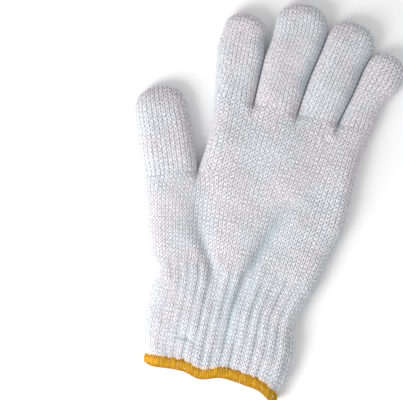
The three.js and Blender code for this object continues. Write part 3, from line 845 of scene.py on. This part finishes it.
# %% [markdown]
# ## The ribbed cuff
# The cuff is knitted with an elastic thread that pulls it into upright ribs: two wales stand up and the
# third sinks between its neighbours. The ribs are bent into the inner skin as well, so that the wall
# keeps its thickness. At the top the wales meet those of the palm, and their places ease from the palm's
# spacing to the cuff's.
# %% Cuff
CUFF_COLUMNS = {"front": 8, "back": 6}
CUFF_COURSES, CUFF_INNER_ROWS = 23, 11
STRAIGHT_FROM = 0.35  # share of the cuff's length below which the ribs run straight down
SIDE_PULL = 14  # how far from its side the cuff's swell and waist bend the ribs
CREASE = (-20, 45)  # X of a short crease across the cuff, and how far down the cuff it is
VALLEY = (7, 4.5)  # X of a soft valley at the cuff's top and mouth


def cuff_share(wale, t, layer, depth):
    """Share across the cuff of a wale: where the palm's wale is at the top, and straight down from there.
    The curve of each side is added to it, fading exponentially away from that side."""
    lines = np.array([wale_line(k, np.zeros(1))[0] for k in range(STRIPS + 1)])
    strip = np.clip(np.searchsorted(FIRST_WALE, wale, side="right") - 1, 0, STRIPS - 1)
    q = (wale - FIRST_WALE[strip]) / np.diff(FIRST_WALE)[strip]
    start, span = lines[strip], np.diff(lines)[strip]
    top = start + span * across(q, span, 1.0 * (strip == 0), 1.0 * (strip == STRIPS - 1), layer, depth)[0]
    down = np.clip(t / STRAIGHT_FROM, 0, 1)
    left, right = (side * lerp(cuff_side(column, 0), cuff_side(column, STRAIGHT_FROM), down)
                   for side, column in ((-1, 1), (1, 2)))
    x = lerp(left, right, (top - wrist_left) / (wrist_right - wrist_left))
    real_left, real_right = -cuff_side(1, t), cuff_side(2, t)
    x = (x + (real_left - left) * np.exp((left - x) / SIDE_PULL)
         + (real_right - right) * np.exp((x - right) / SIDE_PULL))
    return np.clip((x - real_left) / (real_right - real_left), 0, 1)


def cuff_points(share, t, layer, depth, extra=0, dent=0):
    """Skin of the cuff: between its side curves, down to a share of the mouth's line."""
    side_depth = depth + dent * ease(t, 0, 0.12)
    left, right = -cuff_side(1, t) + side_depth, cuff_side(2, t) - side_depth
    width = right - left
    height = rounded(np.minimum(share, 1 - share) * width, width, layer, depth)
    y = -t * CUFF_LENGTH * curve(MOUTH_LINE, 1 if layer == "front" else 2, share) - extra
    full, fold = thickness(-t * CUFF_LENGTH, share * STRIPS), fold_wave(y, share * STRIPS)
    z = np.maximum(stand_off(full, fold, depth + dent, height, layer), 0)
    return np.stack(np.broadcast_arrays(lerp(left, right, share), y, z), axis=-1)


def creases(x, t):
    """Two marks on the upper layer, from 0 to 1, both bell curves: an arched crease across the cuff, and
    a broad valley down it that goes on from the palm's second fold and fades out by the mouth."""
    bend = ((x - CREASE[0]) / 9) ** 2
    crease = np.exp(-bend * 2 - ((t * CUFF_LENGTH - CREASE[1] - 3 * bend) / 1.8) ** 2)
    valley = np.exp(-((x - lerp(*VALLEY, t)) / 4.5) ** 2) * ease(t, -0.05, 0.15) * ease(-t, -1, -0.6)
    return crease, valley


def cuff_grid(layer, depth):
    """One skin of one layer of the cuff, with its ribs and creases."""
    wale = np.linspace(0, WALES, WALES * CUFF_COLUMNS[layer] + 1)[None, :]
    t = np.linspace(0, 1, (CUFF_INNER_ROWS if depth else CUFF_COURSES * ROWS) + 1)[:, None]
    share = cuff_share(wale, t, layer, depth)
    furrow = rib_dent(wale, -t * CUFF_LENGTH)
    x = lerp(-cuff_side(1, t), cuff_side(2, t), share)
    crease, valley = (mark * (layer == "front") for mark in creases(x, t))
    points = cuff_points(share, t, layer, depth, 0, furrow + crease + valley)
    # Painted shade in the furrows, the crease and the valley, besides their dents.
    shade = RIB_SHADE * furrow / FURROW + 0.2 * crease + 0.3 * valley
    if layer == "front":
        shade = shade + fold_shade(-t * CUFF_LENGTH, share * STRIPS)
    halo = 0.7 * ease(t, 0.955, 1)
    return skin(points, wale, -t * CUFF_COURSES, layer, depth, shade, halo, True)


def cuff_grids():
    """All grids of the cuff: two skins of each layer, and rims at both ends."""
    grids = []
    for layer in ("front", "back"):
        back = layer == "back"
        outer, inner = cuff_grid(layer, 0), cuff_grid(layer, WALL)
        grids += [outer, inner, rim_grid(outer["points"][0], inner["points"][0], back),
                  rim_grid(outer["points"][-1], inner["points"][-1], not back)]
    return grids


sew("ribbed_cuff_knit", "ribbed_cuff", RIB_COTTON, cuff_grids(), knit_lift)

# %% [markdown]
# ## The overlocked edge
# The mouth is whipped with yellow thread on an overlock machine, so that the knit can't run. The thread
# lies in close turns over the edge like a soft rope. The turns sink into each other, so a ring with a
# bulge for each is closer than a coiled curve. Each turn bites a little higher or lower into the knit,
# which leaves a ragged upper line.
# %% Edge
WRAPS = 92  # turns of thread on one layer
WRAP_COLUMNS = 6
SECTION = 32  # grid rows round the thread's section
SECTION_SQUARENESS = 2.6  # exponent of that section's outline
WRAP_BULGE = 0.3
WRAP_SLANT = 1.4  # turns by which the thread leans over the edge's height
RAGGED = 1.6  # how much further the longest turn bites into the knit

rng = np.random.default_rng(4)
bites = {layer: rng.uniform(0, 1, WRAPS + 1) for layer in ("front", "back")}


def edge_grid(layer):
    """Ring of thread: a superellipse section round the mouth's edge. Its upper half reaches into the knit
    by each turn's own bite."""
    wrap = np.linspace(0, WRAPS, WRAPS * WRAP_COLUMNS + 1)[None, :]
    angle = np.linspace(0, 2 * np.pi, SECTION + 1)[:, None]
    up, out = (np.sign(v) * np.abs(v) ** (2 / SECTION_SQUARENESS) for v in (np.cos(angle), np.sin(angle)))
    turn = wrap + WRAP_SLANT * 0.5 * up
    bulge = np.abs(np.sin(np.pi * turn)) ** 0.6
    bite = bites[layer][np.clip(np.floor(turn), 0, WRAPS).astype(int)] * bulge
    length = (EDGE_LENGTH - PALM_GAP) * (0.8 + 0.2 * ease(wrap / WRAPS, 0, 0.12))
    down = length / 2 * (1 - up) - RAGGED * bite * np.clip(up, 0, 1) ** 2
    depth = WALL / 2 - (WALL / 2 + EDGE_SWELL) * out
    share = across(wrap / WRAPS, cuff_side(1, 1.0) + cuff_side(2, 1.0), 1, 1, layer, 0)[0]
    points = cuff_points(share, np.ones_like(turn), layer, depth, down)
    # Painted shade on the lower side of the thread, which faces away from the light.
    underside_shade = 0.8 * ease(-up, 0.1, 0.95)
    return grid(points, wrap / 3, angle / np.pi, "outer", layer == "front", underside_shade, 0, bulge)


def thread_lift(places, values, normal):
    """Rise of the thread: the bulge of its turn. How deep a point lies is the rest of that."""
    return WRAP_BULGE * (values[:, 4] - 0.6), 1 - values[:, 4]


# The yellow thread's second and third colours are painted shade: between its turns and on its lower side.
YELLOW = cloth("Yellow_thread", (0.68, 0.33, 0.012, 1), (0.36, 0.16, 0.008, 1), (0.2, 0.1, 0.01, 1),
               (0.72, 0.29, 0.008, 1), (0.55, 0.33, 0.02, 1), (0.9, 0.5, 0.04, 1), 0.9, 0.0)
sew("overlock_thread", "overlock_edge", YELLOW, [edge_grid("front"), edge_grid("back")],
    thread_lift)

# %% [markdown]
# ## Table, light and camera
# The glove lies flat on a white table and is seen from straight above, turned a little clockwise. The
# light is a soft box on the lower left, with white all round, so shadows stay pale.
# %% Stage
VIEW_TURN = np.radians(13)
SPOT = (np.array([-28.33, 40.47, 6.0]) + OFFSET) * 0.001  # middle of the view, at mid thickness
VIEW_WIDTH = 0.2547  # of that plane, in metres
LENS, SENSOR = 85, 36
TABLE = 1.5  # half the side of the table top, in metres
LIGHT_RIGHT, LIGHT_UP, LIGHT_HEIGHT = -0.46, -0.36, 0.4  # from the middle of the view, in metres

floor_mesh = bpy.data.meshes.new("table")
corners = [(TABLE * x, TABLE * y, 0) for x, y in ((-1, -1), (1, -1), (1, 1), (-1, 1))]
floor_mesh.from_pydata(corners, [], [(0, 1, 2, 3)])
table = in_scene("table", floor_mesh)
paper = bpy.data.materials.new("White_table")
paper.use_nodes = True
surface = paper.node_tree.nodes["Principled BSDF"].inputs
surface["Base Color"].default_value = (0.93, 0.93, 0.93, 1)
surface["Roughness"].default_value = 0.9
floor_mesh.materials.append(paper)

world = bpy.data.worlds.new("white_room")
world.use_nodes = True
sky = world.node_tree.nodes["Background"].inputs
sky["Color"].default_value = (1, 1, 1, 1)
sky["Strength"].default_value = 0.66
bpy.context.scene.world = world

right = np.array([np.cos(VIEW_TURN), np.sin(VIEW_TURN), 0])
up = np.array([-np.sin(VIEW_TURN), np.cos(VIEW_TURN), 0])
light_place = SPOT + (right * LIGHT_RIGHT + up * LIGHT_UP) + np.array([0, 0, LIGHT_HEIGHT])
light = bpy.data.lights.new("window_light", "AREA")
light.size, light.energy = 0.4, 5.7
lamp = in_scene("window_light", light)
lamp.location = light_place
away = light_place - SPOT
lamp.rotation_euler = (np.arctan2(np.hypot(away[0], away[1]), away[2]), 0,
                       np.arctan2(away[1], away[0]) + np.pi / 2)

camera_data = bpy.data.cameras.new("camera")
camera_data.lens, camera_data.sensor_width = LENS, SENSOR
camera = in_scene("camera", camera_data)
camera.location = SPOT + np.array([0, 0, VIEW_WIDTH * LENS / SENSOR])
camera.rotation_euler = (0, 0, VIEW_TURN)
bpy.context.scene.camera = camera
bpy.context.scene.view_settings.view_transform = "Standard"
print("camera stands", round(camera.location.z, 3), "m above the table")

# %% [markdown]
# ## Triangles, and the end
# The triangles of all dressed pieces are added up. The dressed glove may stand a little
# outside the plain one.
# %% Count the triangles and finish
print("triangles in all:", sum(TRIANGLES.values()))
